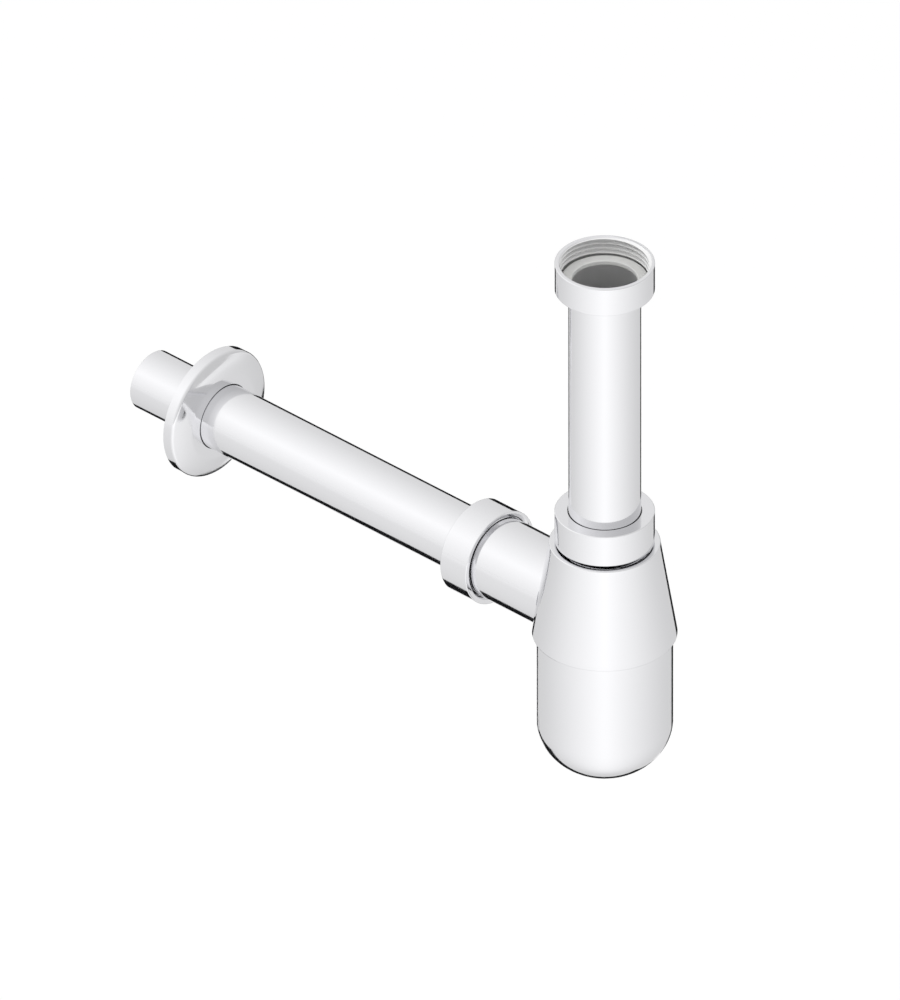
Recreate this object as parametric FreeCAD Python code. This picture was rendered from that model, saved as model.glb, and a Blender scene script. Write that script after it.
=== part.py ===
"""A bottle trap for a wash basin: inlet tube with its union nut, cast body with a side outlet,
screwed cup, wall tube and wall flange. All sizes are in millimetres.

The origin is the face of the inlet gasket that the basin waste seals on, on the inlet's axis.
+Z points up to the basin, and the wall tube runs along -X.
"""
import FreeCAD, Part
import os

from FreeCAD import Vector

# Tubes
inlet_tube_radius = 16.0
wall_tube_radius = 15.0
tube_wall = 0.8
inlet_tube_length = 184.0
wall_tube_inner_end = 45.0
stub_reduction = 1.1
stub_past_flange = 3.2
stub_length = 31.5
stub_taper_length = 1.5

# Clearances, all radial
seal_clearance = 0.08
slide_clearance = 0.3
seat_clearance = 0.1
thread_clearance = 0.08
ring_clearance = 0.4

# Dip tube
dip_tube_wall = 0.9
dip_collar_width = 0.75
dip_washer_thickness = 1.0
water_seal = 51.5

# Threads: the union threads are G 1 1/4, and the cup's has the same pitch
union_thread_half_depth = 0.74
union_thread_relief = 0.78
cup_thread_mean_radius = 28.4
thread_chamfer = 0.4

# Inlet, from the gasket's sealing face
inlet_thread_length = 8.7
inlet_thread_lead = 0.7
inlet_gasket_thickness = 1.9
inlet_gasket_overhang = 0.8
inlet_flange_clearance = 0.28
inlet_flange_thickness = 1.2
inlet_slip_ring_thickness = 0.8
inlet_nut_lip = 1.2

# Union nuts
nut_wall = 1.78
nut_edge_radius = 0.6
joint_nut_length = 15.5
joint_nut_lip = 1.8
joint_slip_ring_thickness = 1.2
visible_inlet_tube = 115.9

# Threaded necks of the body, measured outwards from the shoulder
neck_gap = 1.0
neck_length = 11.0
neck_wall = 2.4
neck_root_length = 2.2
neck_seat_cone_start = 8.8
neck_seat_widening = 1.2
neck_mouth_land = 0.97
seal_floor = 6.5
dip_ledge = 4.0

# Body
cone_top_radius = 24.4
cone_base_radius = 32.0
cone_height = 47.5
cone_edge_radius = 0.6
body_wall = 2.3
body_roof = 3.0
chamber_radius = 26.0
outlet_height = 10.7
outlet_shoulder = 61.4
outlet_end_wall = 1.6
weir_height = 12.5
weir_window_inner_end = 18.0

# Cup and its seat in the body's base
cup_radius = 30.0
cup_wall = 1.5
cup_straight = 45.3
cup_dome_height = 24.8
cup_neck_wall = 1.6
cup_gasket_thickness = 2.0
cup_thread_length = 7.3
cup_recess_depth = 1.2
cup_shoulder_gap = 0.3
cup_side_gap = 1.0

# Wall flange, measured along the outlet's axis
flange_radius = 30.0
flange_back = 235.5
flange_rim_depth = 5.2
flange_dome_height = 3.2
flange_sheet = 1.0
flange_edge_radius = 0.9
flange_hole_clearance = 0.25
grip_ring_width = 3.6
grip_ring_thickness = 3.0
grip_cup_wall = 0.9

# Places that follow from the sizes
inlet_bore_radius = inlet_tube_radius - tube_wall
inlet_passing_radius = inlet_tube_radius + slide_clearance
wall_bore_radius = wall_tube_radius - tube_wall
wall_passing_radius = wall_tube_radius + slide_clearance
dip_tube_radius = inlet_passing_radius + dip_tube_wall
dip_collar_radius = dip_tube_radius + dip_collar_width
neck_bore_radius = dip_tube_radius + seat_clearance
neck_seat_radius = dip_collar_radius + seat_clearance
neck_mouth_radius = neck_seat_radius + neck_seat_widening
neck_root_radius = inlet_passing_radius + neck_wall
union_thread_mean_radius = neck_mouth_radius + neck_mouth_land
union_thread_crest_radius = union_thread_mean_radius - union_thread_half_depth
union_thread_relief_radius = union_thread_mean_radius + union_thread_relief
nut_thread_radius = union_thread_mean_radius + thread_clearance
nut_radius = union_thread_mean_radius + nut_wall
joint_slip_ring_radius = nut_thread_radius - ring_clearance
inlet_flange_radius = union_thread_crest_radius - inlet_flange_clearance
inlet_gasket_bore_radius = inlet_bore_radius - inlet_gasket_overhang
stub_radius = wall_tube_radius - stub_reduction
stub_start = flange_back + stub_past_flange
wall_tube_outer_end = stub_start + stub_length
grip_ring_radius = wall_tube_radius + grip_ring_width
cup_neck_bore_radius = cup_thread_mean_radius - cup_neck_wall
cup_way_radius = cup_radius + cup_side_gap
outlet_bore_start = cup_way_radius + outlet_end_wall
inlet_flange_top = -inlet_gasket_thickness
inlet_flange_bottom = inlet_flange_top - inlet_flange_thickness
inlet_lip_top = inlet_flange_bottom - inlet_slip_ring_thickness
inlet_nut_bottom = inlet_lip_top - inlet_nut_lip
inlet_tube_bottom = inlet_flange_top - inlet_tube_length
shoulder_height = inlet_nut_bottom - visible_inlet_tube - joint_nut_length - neck_gap
base_height = shoulder_height - cone_height
outlet_axis_height = base_height + outlet_height
nut_end = neck_gap + joint_nut_length
nut_lip_start = nut_end - joint_nut_lip
seal_top = nut_lip_start - joint_slip_ring_thickness
dip_collar_bottom = dip_ledge + dip_washer_thickness
weir = base_height + weir_height
dip_tube_bottom = weir - water_seal
cup_thread_top = base_height + cup_recess_depth + cup_thread_length
chamber_ledge = cup_thread_top + cup_gasket_thickness
cup_shoulder = base_height + cup_recess_depth - cup_shoulder_gap
dome_start = base_height - cup_straight

AXIS_FOOT = Vector(0, 0, 0)
UP = Vector(0, 0, 1)
SAME_PLACE = 0.001


def turned(corners):
    """A solid turned about Z from the (radius, height) corners of its section."""
    points = [Vector(radius, 0, height) for radius, height in corners]
    section = Part.Face(Part.makePolygon(points + points[:1]))
    return section.revolve(AXIS_FOOT, UP, 360)


def ring(inner_radius, outer_radius, bottom, top):
    """A plain flat or tubular ring."""
    return turned([(inner_radius, bottom), (outer_radius, bottom), (outer_radius, top), (inner_radius, top)])


def rim(shape, radius, height):
    """The circular edges of a turned solid at one radius and height."""
    found = []
    for edge in shape.Edges:
        curve = edge.Curve
        if not isinstance(curve, Part.Circle):
            continue
        if abs(curve.Radius - radius) < SAME_PLACE and abs(curve.Center.z - height) < SAME_PLACE:
            found.append(edge)
    return found


def along_outlet(shape):
    """Lays a piece that is turned about Z, with Z as distance from the inlet's axis, on the outlet's axis."""
    placed = shape.copy()
    placed.rotate(AXIS_FOOT, Vector(0, 1, 0), -90)
    placed.translate(Vector(0, 0, outlet_axis_height))
    return placed


def on_body(shape):
    """Raises a piece that is measured from the shoulder to the body's upper neck."""
    placed = shape.copy()
    placed.translate(Vector(0, 0, shoulder_height))
    return placed


def on_outlet_neck(shape):
    """Puts a piece that is measured from the shoulder on the outlet's neck."""
    placed = shape.copy()
    placed.translate(Vector(0, 0, outlet_shoulder))
    return along_outlet(placed)


def inlet_nut():
    """The union nut that screws on the basin waste, with an undercut below its thread."""
    nut = turned([
        (inlet_passing_radius, inlet_nut_bottom),
        (nut_radius, inlet_nut_bottom),
        (nut_radius, inlet_thread_length),
        (union_thread_crest_radius + inlet_thread_lead, inlet_thread_length),
        (union_thread_crest_radius, inlet_thread_length - inlet_thread_lead),
        (union_thread_crest_radius, 0),
        (union_thread_relief_radius, 0),
        (union_thread_relief_radius, inlet_lip_top),
        (inlet_passing_radius, inlet_lip_top),
    ])
    rims = rim(nut, nut_radius, inlet_nut_bottom) + rim(nut, nut_radius, inlet_thread_length)
    return nut.makeFillet(nut_edge_radius, rims)


def inlet_gasket():
    """The flat ring that the waste's end is pressed on."""
    return ring(inlet_gasket_bore_radius, inlet_flange_radius, inlet_flange_top, 0)


def inlet_tube():
    """The thin-walled inlet tube with its turned-out flange."""
    return turned([
        (inlet_bore_radius, inlet_tube_bottom),
        (inlet_tube_radius, inlet_tube_bottom),
        (inlet_tube_radius, inlet_flange_bottom),
        (inlet_flange_radius, inlet_flange_bottom),
        (inlet_flange_radius, inlet_flange_top),
        (inlet_bore_radius, inlet_flange_top),
    ])


def inlet_slip_ring():
    """The thin ring that lets the nut turn under the tube's flange."""
    return ring(inlet_tube_radius + seal_clearance, inlet_flange_radius, inlet_lip_top, inlet_flange_bottom)


def joint_nut(tube_radius):
    """A union nut for one tube, from its open end to its lip, measured from the shoulder."""
    lip_radius = tube_radius + slide_clearance
    nut = turned([
        (nut_thread_radius, nut_lip_start),
        (nut_thread_radius, neck_gap + thread_chamfer),
        (nut_thread_radius + thread_chamfer, neck_gap),
        (nut_radius, neck_gap),
        (nut_radius, nut_end),
        (lip_radius, nut_end),
        (lip_radius, nut_lip_start),
    ])
    rims = rim(nut, nut_radius, neck_gap) + rim(nut, nut_radius, nut_end)
    return nut.makeFillet(nut_edge_radius, rims)


def joint_slip_ring(tube_radius):
    """The ring between a joint's nut and its seal."""
    return ring(tube_radius + seal_clearance, joint_slip_ring_radius, seal_top, nut_lip_start)


def joint_cone_seal(tube_radius):
    """The tapered seal that the nut presses into a neck's seat and on the tube."""
    hole_radius = tube_radius + seal_clearance
    head_radius = neck_mouth_radius - seat_clearance
    return turned([
        (hole_radius, seal_floor),
        (dip_collar_radius, seal_floor),
        (dip_collar_radius, neck_seat_cone_start),
        (head_radius, neck_length),
        (head_radius, seal_top),
        (hole_radius, seal_top),
    ])


def neck_outside():
    """The corners of a threaded neck's outside, from its shoulder to its mouth."""
    thread_run_in = union_thread_mean_radius - neck_root_radius
    return [
        (neck_root_radius, 0),
        (neck_root_radius, neck_root_length),
        (union_thread_mean_radius, neck_root_length + thread_run_in),
        (union_thread_mean_radius, neck_length - thread_chamfer),
        (union_thread_mean_radius - thread_chamfer, neck_length),
    ]


def neck_seat(floor):
    """The seat for a seal inside a neck's mouth, as a solid to cut away, down to its floor."""
    return turned([
        (0, floor),
        (neck_seat_radius, floor),
        (neck_seat_radius, neck_seat_cone_start),
        (neck_mouth_radius, neck_length),
        (0, neck_length),
    ])


def cone_radius_at(depth):
    """The cone's outer radius at a depth below the shoulder."""
    return cone_top_radius + (cone_base_radius - cone_top_radius) * depth / cone_height


def body_outside():
    """The cone with its upper neck, solid, measured from the shoulder."""
    cone = turned([(0, -cone_height), (cone_base_radius, -cone_height), (cone_top_radius, 0)]
                  + neck_outside() + [(0, neck_length)])
    rims = rim(cone, cone_base_radius, -cone_height) + rim(cone, cone_top_radius, 0)
    return on_body(cone.makeFillet(cone_edge_radius, rims))


def outlet_outside():
    """The side outlet with its threaded neck, solid. Below the cone it stops short of the cup."""
    neck = [(radius, outlet_shoulder + step) for radius, step in neck_outside()]
    root = chamber_radius - body_wall
    outlet = along_outlet(turned([(0, root), (neck_root_radius, root)] + neck[1:]
                                 + [(0, outlet_shoulder + neck_length)]))
    return outlet.cut(ring(0, cup_way_radius, dome_start, base_height))


def body_cavity():
    """The space inside the body: neck bore, chamber, gasket ledge and the cup's thread."""
    slope = (cone_base_radius - cone_top_radius) / cone_height
    roof_radius = cone_radius_at(body_roof) - body_wall
    chamber_depth = (chamber_radius + body_wall - cone_top_radius) / slope
    thread_radius = cup_thread_mean_radius + thread_clearance
    recess_radius = cup_radius + ring_clearance
    recess_top = base_height + cup_recess_depth
    below = base_height - cup_recess_depth
    return turned([
        (0, shoulder_height + dip_ledge),
        (neck_bore_radius, shoulder_height + dip_ledge),
        (neck_bore_radius, shoulder_height - body_roof),
        (roof_radius, shoulder_height - body_roof),
        (chamber_radius, shoulder_height - chamber_depth),
        (chamber_radius, chamber_ledge),
        (thread_radius, chamber_ledge),
        (thread_radius, recess_top),
        (recess_radius, recess_top),
        (recess_radius, below),
        (0, below),
    ])


def outlet_bore():
    """The outlet's bore for the wall tube, which stops short of the cup's thread."""
    return along_outlet(ring(0, wall_passing_radius, outlet_bore_start, outlet_shoulder + seal_floor))


def weir_window():
    """The opening from the chamber to the outlet's bore; its lower edge is the weir."""
    passage = along_outlet(ring(0, wall_passing_radius, weir_window_inner_end, outlet_bore_start))
    width = 2 * wall_passing_radius
    above_weir = Part.makeBox(outlet_bore_start, width, width,
                              Vector(-outlet_bore_start, -wall_passing_radius, weir))
    return passage.common(above_weir)


def trap_body():
    """The cast and turned body."""
    body = body_outside().fuse(outlet_outside())
    for space in (body_cavity(), on_body(neck_seat(dip_ledge)), outlet_bore(),
                  on_outlet_neck(neck_seat(seal_floor)), weir_window()):
        body = body.cut(space)
    return body.removeSplitter()


def dip_tube_washer():
    """The flat ring that seals the dip tube's collar on its ledge."""
    return on_body(ring(neck_bore_radius, dip_collar_radius, dip_ledge, dip_collar_bottom))


def dip_tube():
    """The tube that takes the waste water down into the cup, hung by its collar."""
    return turned([
        (inlet_passing_radius, dip_tube_bottom),
        (dip_tube_radius, dip_tube_bottom),
        (dip_tube_radius, shoulder_height + dip_collar_bottom),
        (dip_collar_radius, shoulder_height + dip_collar_bottom),
        (dip_collar_radius, shoulder_height + seal_floor),
        (inlet_passing_radius, shoulder_height + seal_floor),
    ])


def cup_gasket():
    """The flat ring between the cup's mouth and the ledge in the body."""
    return ring(cup_neck_bore_radius, cup_thread_mean_radius - seat_clearance, cup_thread_top, chamber_ledge)


def dome_section(radius, depth):
    """One quarter of an ellipse's face below the dome's start, from the wall to the axis."""
    centre = Vector(0, 0, dome_start)
    curve = Part.Ellipse(centre + Vector(radius, 0, 0), centre - Vector(0, 0, depth), centre)
    start = curve.parameter(centre + Vector(radius, 0, 0))
    lowest = curve.parameter(centre - Vector(0, 0, depth))
    arc = curve.toShape(start, lowest) if lowest > start else curve.toShape(lowest, start)
    down = Part.makeLine(centre - Vector(0, 0, depth), centre)
    across = Part.makeLine(centre, centre + Vector(radius, 0, 0))
    return Part.Face(Part.Wire(Part.__sortEdges__([arc, down, across])))


def dome(radius, depth):
    """Half an ellipsoid below the dome's start."""
    return dome_section(radius, depth).revolve(AXIS_FOOT, UP, 360)


def cup():
    """The cup, deep drawn with a domed bottom, and its threaded neck."""
    step = cup_radius - cup_wall - cup_neck_bore_radius
    neck_inside_end = cup_shoulder - cup_wall - seat_clearance
    outside = turned([
        (0, dome_start),
        (cup_radius, dome_start),
        (cup_radius, cup_shoulder - thread_chamfer),
        (cup_radius - thread_chamfer, cup_shoulder),
        (cup_thread_mean_radius, cup_shoulder),
        (cup_thread_mean_radius, cup_thread_top - thread_chamfer),
        (cup_thread_mean_radius - thread_chamfer, cup_thread_top),
        (0, cup_thread_top),
    ])
    inside = turned([
        (0, dome_start),
        (cup_radius - cup_wall, dome_start),
        (cup_radius - cup_wall, neck_inside_end - step),
        (cup_neck_bore_radius, neck_inside_end),
        (cup_neck_bore_radius, cup_thread_top),
        (0, cup_thread_top),
    ])
    shell = outside.fuse(dome(cup_radius, cup_dome_height))
    hollow = inside.fuse(dome(cup_radius - cup_wall, cup_dome_height - cup_wall))
    return shell.cut(hollow).removeSplitter()


def wall_tube():
    """The tube to the wall, with its end drawn down to go into the wall's socket."""
    stub_full = stub_start - stub_taper_length
    return along_outlet(turned([
        (wall_bore_radius, wall_tube_inner_end),
        (wall_tube_radius, wall_tube_inner_end),
        (wall_tube_radius, stub_full),
        (stub_radius, stub_start),
        (stub_radius, wall_tube_outer_end),
        (stub_radius - tube_wall, wall_tube_outer_end),
        (stub_radius - tube_wall, stub_start),
        (wall_bore_radius, stub_full),
    ]))


def wall_flange():
    """The pressed cover that hides the hole in the wall, with a small cup for its grip ring."""
    hole_radius = wall_tube_radius + flange_hole_clearance
    rim_front = flange_back - flange_rim_depth
    face_front = rim_front - flange_dome_height
    cup_inner = grip_ring_radius + seat_clearance
    cup_outer = cup_inner + grip_cup_wall
    inner_radius = flange_radius - flange_sheet
    shell = turned([
        (hole_radius, face_front),
        (cup_outer, face_front),
        (flange_radius, rim_front),
        (flange_radius, flange_back),
        (inner_radius, flange_back),
        (inner_radius, rim_front + flange_sheet),
        (cup_outer, face_front + flange_sheet),
        (cup_outer, face_front + flange_sheet + grip_ring_thickness),
        (cup_inner, face_front + flange_sheet + grip_ring_thickness),
        (cup_inner, face_front + flange_sheet),
        (hole_radius, face_front + flange_sheet),
    ])
    shell = shell.makeFillet(flange_edge_radius, rim(shell, flange_radius, rim_front))
    return along_outlet(shell)


def flange_grip_ring():
    """The soft ring that holds the flange where it is pushed along the tube."""
    front = flange_back - flange_rim_depth - flange_dome_height + flange_sheet
    hole_radius = wall_tube_radius + seal_clearance
    return along_outlet(ring(hole_radius, grip_ring_radius, front, front + grip_ring_thickness))


PIECES = {
    "inlet_nut": inlet_nut(),
    "inlet_gasket": inlet_gasket(),
    "inlet_slip_ring": inlet_slip_ring(),
    "inlet_tube": inlet_tube(),
    "body_nut": on_body(joint_nut(inlet_tube_radius)),
    "body_slip_ring": on_body(joint_slip_ring(inlet_tube_radius)),
    "body_cone_seal": on_body(joint_cone_seal(inlet_tube_radius)),
    "trap_body": trap_body(),
    "dip_tube": dip_tube(),
    "dip_tube_washer": dip_tube_washer(),
    "cup_gasket": cup_gasket(),
    "cup": cup(),
    "outlet_nut": on_outlet_neck(joint_nut(wall_tube_radius)),
    "outlet_slip_ring": on_outlet_neck(joint_slip_ring(wall_tube_radius)),
    "outlet_cone_seal": on_outlet_neck(joint_cone_seal(wall_tube_radius)),
    "wall_tube": wall_tube(),
    "wall_flange": wall_flange(),
    "flange_grip_ring": flange_grip_ring(),
}

os.makedirs("parts", exist_ok=True)
for name, piece in PIECES.items():
    piece.exportStep("parts/" + name + ".step")
    print(name, piece.ShapeType, piece.isValid(), len(piece.Solids), round(piece.Volume, 1))
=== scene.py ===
"""The looks of a bottle trap for a wash basin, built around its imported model.

Sizes are in metres. The inlet's axis is Z, and the wall tube runs along -X.
"""
import math

import bmesh
import bpy
from bpy.props import FloatProperty, IntProperty, PointerProperty, StringProperty
from bpy.types import Operator, Panel, PropertyGroup
from mathutils import Matrix, Vector


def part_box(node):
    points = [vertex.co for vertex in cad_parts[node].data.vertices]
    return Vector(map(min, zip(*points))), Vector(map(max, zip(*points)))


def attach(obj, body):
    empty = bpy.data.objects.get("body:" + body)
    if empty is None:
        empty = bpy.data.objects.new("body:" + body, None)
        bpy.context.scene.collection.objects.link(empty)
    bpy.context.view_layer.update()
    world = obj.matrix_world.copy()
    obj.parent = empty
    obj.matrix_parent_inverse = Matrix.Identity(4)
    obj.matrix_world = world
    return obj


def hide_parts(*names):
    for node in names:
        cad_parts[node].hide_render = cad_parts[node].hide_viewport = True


bl_info = {
    "name": "Bottle trap",
    "version": (1, 0, 0),
    "blender": (4, 5, 0),
    "location": "View3D > Sidebar > Bottle trap",
    "description": "Builds a chrome plated bottle trap, piece by piece, around its packed model",
    "category": "Object",
}

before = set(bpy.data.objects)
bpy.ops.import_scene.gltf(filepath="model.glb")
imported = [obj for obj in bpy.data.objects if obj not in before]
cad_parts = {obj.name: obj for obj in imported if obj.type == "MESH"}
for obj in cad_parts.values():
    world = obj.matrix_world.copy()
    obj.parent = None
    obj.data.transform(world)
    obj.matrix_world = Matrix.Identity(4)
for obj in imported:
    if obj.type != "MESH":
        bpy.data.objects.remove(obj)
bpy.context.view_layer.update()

MM = 0.001
UP = Vector((0, 0, 1))
FULL_TURN = 2 * math.pi
MERGE_DISTANCE = 1e-7

# How finely corners are rounded, and which edges of a finished piece stay crisp
ROUNDING_SEGMENTS = 4
SHARP_ANGLE = math.radians(38)
NORMAL_WEIGHT = 60


def low(node):
    """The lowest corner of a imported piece."""
    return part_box(node)[0]


def high(node):
    """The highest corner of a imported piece."""
    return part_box(node)[1]


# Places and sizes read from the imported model
DIP_COLLAR_STEP = 1.95 * MM
INLET_TUBE_RADIUS = high("dip_tube").x - DIP_COLLAR_STEP
WALL_TUBE_RADIUS = (high("wall_tube").z - low("wall_tube").z) / 2
OUTLET_HEIGHT = (low("wall_tube").z + high("wall_tube").z) / 2
NUT_RADIUS = high("inlet_nut").x
NECK_TOP = high("trap_body").z
OUTLET_MOUTH = -low("trap_body").x
CUP_RADIUS = high("cup").x
FLANGE_RADIUS = (high("wall_flange").z - low("wall_flange").z) / 2

# Clearances and walls
LIP_CLEARANCE = 0.3 * MM
SEAT_CLEARANCE = 0.1 * MM
THREAD_CLEARANCE = 0.08 * MM
THREAD_PLAY = 0.11 * MM
TUBE_WALL = 0.8 * MM

# Threads: half of the 55 degrees between two flanks, the air a cutter starts in, and turns cut past the end
THREAD_FLANK = math.radians(27.5)
CUTTER_AIR = 0.25 * MM
THREAD_OVERRUN = 0.5
CUP_THREAD_OVERRUN = 1.4

# Union joints: radii, and lengths from a neck's shoulder
NUT_CREST = high("inlet_tube").x + 0.28 * MM
NUT_RELIEF = NUT_CREST + 1.52 * MM
NECK_ROOT = INLET_TUBE_RADIUS + 2.7 * MM
NECK_ROOT_LENGTH = 2.2 * MM
NECK_GAP = 1.0 * MM
NECK_CHAMFER = 1.0 * MM
SEAT_CONE_LENGTH = 2.2 * MM
NUT_THREAD_RUN_OUT = 0.2 * MM
NUT_LEAD = 0.4 * MM
INLET_NUT_LEAD = 0.7 * MM
DULL_BORE_MARGIN = 0.2 * MM
BRIGHT_FACE_DEPTH = 0.4 * MM
GASKET_OVERHANG = 0.8 * MM
GASKET_EDGE = 0.5 * MM
DIP_COLLAR_WIDTH = 0.75 * MM

# Body, from its base and from the inlet's axis; its long sides are turned in bands, for even shading
BODY_BANDS = 18
LEDGE_HEIGHT = 10.5 * MM
BASE = high("cup_gasket").z - LEDGE_HEIGHT
SHOULDER = low("body_nut").z - NECK_GAP
OUTLET_SHOULDER = -high("outlet_nut").x - NECK_GAP
BASE_RADIUS = CUP_RADIUS + 2 * MM
BASE_EDGE = 0.8 * MM
CONE_TOP_RADIUS = 24.4 * MM
CHAMBER_RADIUS = 26 * MM
CHAMBER_DEPTH = 24.4 * MM
BODY_WALL = 2.3 * MM
BODY_ROOF = 3 * MM
ROOF_ROUNDING = 2 * MM
CUTTER_REACH = 1 * MM
WINDOW_START = 18 * MM
CUP_WAY = CUP_RADIUS + 1 * MM
BORE_START = CUP_WAY + 1.6 * MM
WEIR_HEIGHT = 12.5 * MM

# Cup and its seat in the body's base
CUP_RECESS = 1.2 * MM
CUP_CLEARANCE = 0.4 * MM
CUP_WALL = 1.5 * MM
CUP_DOME = 24.8 * MM
CUP_NECK = 7.6 * MM
CUP_NECK_BORE_STEP = 3.2 * MM
CUP_THREAD_ROOT = 0.8 * MM
CUP_SHOULDER_EDGE = 0.4 * MM
CUP_CHAMFER = 0.8 * MM
DOME_BANDS = 20

# Wall tube's drawn-down end and wall flange
STUB_REDUCTION = 1.1 * MM
STUB_LENGTH = 31.5 * MM
STUB_TAPER = 1.5 * MM
STUB_ROUNDING = 0.5 * MM
FLANGE_SHEET = 1 * MM
FLANGE_RIM = 5.2 * MM
FLANGE_EDGE = 0.9 * MM
FLANGE_INNER_EDGE = 0.3 * MM
FLANGE_BACK_EDGE = 0.2 * MM
FLANGE_HOLE_EDGE = 0.3 * MM
FLANGE_HOLE_BACK_EDGE = 0.1 * MM
FLANGE_BANDS = 8
FLANGE_BOW = 0.35 * MM
FLANGE_HOLE_CLEARANCE = 0.25 * MM
GRIP_CUP_WALL = 0.9 * MM
GRIP_CUP_EDGE = 0.15 * MM


class TrapSizes(PropertyGroup):
    """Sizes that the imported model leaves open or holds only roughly."""

    thread_pitch: FloatProperty(
        name="Thread pitch", description="Distance between two threads of G 1 1/4",
        default=2.309 * MM, min=0.5 * MM, max=5 * MM, precision=5, subtype="DISTANCE", unit="LENGTH")
    thread_depth: FloatProperty(
        name="Thread depth", description="Depth of a thread from crest to root",
        default=1.479 * MM, min=0.2 * MM, max=3 * MM, precision=5, subtype="DISTANCE", unit="LENGTH")
    edge_rounding: FloatProperty(
        name="Edge rounding", description="Radius of the nuts' polished outer edges",
        default=0.45 * MM, min=0.1 * MM, max=2 * MM, precision=5, subtype="DISTANCE", unit="LENGTH")
    small_rounding: FloatProperty(
        name="Small rounding", description="Radius of the broken edges inside and at tube ends",
        default=0.25 * MM, min=0.05 * MM, max=0.4 * MM, precision=5, subtype="DISTANCE", unit="LENGTH")
    steps: IntProperty(
        name="Steps around", description="Faces around each turned piece",
        default=144, min=24, max=256)


class TrapFinish(PropertyGroup):
    """Colours and finish of the pieces, as sRGB hex values."""

    chrome: StringProperty(
        name="Chrome", description="Colour of bright chrome plate", default="#E2E2E4")
    # The dull plate is real; its pale tone, paler than the chrome, is painted light that lifts the shade
    # inside the bore and thread
    bore: StringProperty(
        name="Bore", description="Colour of the dull plate inside a tube or nut", default="#F3F3F3")
    gasket: StringProperty(
        name="Inlet gasket", description="Colour of the inlet's flat gasket", default="#F0F0EE")
    seal: StringProperty(
        name="Seals", description="Colour of the black rubber seals", default="#1A1A1B")
    slip_ring: StringProperty(
        name="Slip rings", description="Colour of the slip rings", default="#EAE8E0")
    brass: StringProperty(
        name="Brass", description="Colour of the bare brass dip tube", default="#B9974F")
    floor: StringProperty(
        name="Floor", description="Colour of the studio floor", default="#DCDCDC")
    felt: StringProperty(
        name="Felt", description="Colour of the felt on the studio's cards", default="#1B1B1D")
    chrome_roughness: FloatProperty(
        name="Chrome roughness", description="Mean roughness of the polished plate",
        default=0.09, min=0.0, max=1.0, subtype="FACTOR")
    bore_roughness: FloatProperty(
        name="Bore roughness", description="Roughness of the inlet tube's unpolished bore",
        default=0.55, min=0.0, max=1.0, subtype="FACTOR")
    thread_roughness: FloatProperty(
        name="Thread roughness", description="Roughness of the inlet nut's unpolished thread",
        default=0.48, min=0.0, max=1.0, subtype="FACTOR")


def linear(hex_colour):
    """A linear RGBA colour from an sRGB hex value."""
    channels = [int(hex_colour[i:i + 2], 16) / 255 for i in (1, 3, 5)]
    return tuple(c / 12.92 if c <= 0.04045 else ((c + 0.055) / 1.055) ** 2.4 for c in channels) + (1.0,)


def section(bm, corners):
    """A closed outline in the XZ plane from (radius, height, rounding) corners."""
    verts = [bm.verts.new((radius, 0, height)) for radius, height, rounding in corners]
    for i, vert in enumerate(verts):
        bm.edges.new((vert, verts[(i + 1) % len(verts)]))
    for amount in sorted({rounding for radius, height, rounding in corners if rounding}):
        chosen = [v for v, corner in zip(verts, corners) if corner[2] == amount]
        bmesh.ops.bevel(bm, geom=chosen, offset=amount, offset_type="OFFSET", segments=ROUNDING_SEGMENTS,
                        profile=0.5, affect="VERTICES", material=-1)


def turned(corners, steps):
    """A closed solid turned about Z from (radius, height, rounding) corners."""
    bm = bmesh.new()
    section(bm, corners)
    bmesh.ops.spin(bm, geom=bm.verts[:] + bm.edges[:], cent=(0, 0, 0), axis=UP, angle=FULL_TURN,
                   steps=steps, use_merge=True)
    bmesh.ops.remove_doubles(bm, verts=bm.verts, dist=MERGE_DISTANCE)
    bmesh.ops.delete(bm, geom=[edge for edge in bm.edges if edge.is_wire], context="EDGES")
    bmesh.ops.recalc_face_normals(bm, faces=bm.faces)
    return bm


def thread_cutter(radius, inward, start, turns, sizes):
    """A helical groove of thread form to cut from a wall at the crest radius.

    With inward set, it cuts a nut's bore, otherwise a neck's outside. Its root is a sixth of a pitch wide.
    """
    root_half = sizes.thread_pitch / 12
    mouth_half = root_half + (sizes.thread_depth + CUTTER_AIR) * math.tan(THREAD_FLANK)
    way = 1 if inward else -1
    mouth = radius - way * CUTTER_AIR
    root = radius + way * sizes.thread_depth
    bm = bmesh.new()
    corners = [
        (mouth, start - mouth_half), (mouth, start + mouth_half),
        (root, start + root_half), (root, start - root_half),
    ]
    verts = [bm.verts.new((x, 0, z)) for x, z in corners]
    bm.faces.new(verts)
    rise = sizes.thread_pitch / sizes.steps
    count = int(turns * sizes.steps)
    bmesh.ops.spin(bm, geom=bm.verts[:] + bm.edges[:] + bm.faces[:], cent=(0, 0, 0), axis=UP,
                   dvec=(0, 0, rise), angle=FULL_TURN * count / sizes.steps, steps=count, use_merge=False)
    open_edges = [edge for edge in bm.edges if edge.is_boundary]
    if open_edges:
        bmesh.ops.holes_fill(bm, edges=open_edges)
    bmesh.ops.recalc_face_normals(bm, faces=bm.faces)
    return bm


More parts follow.
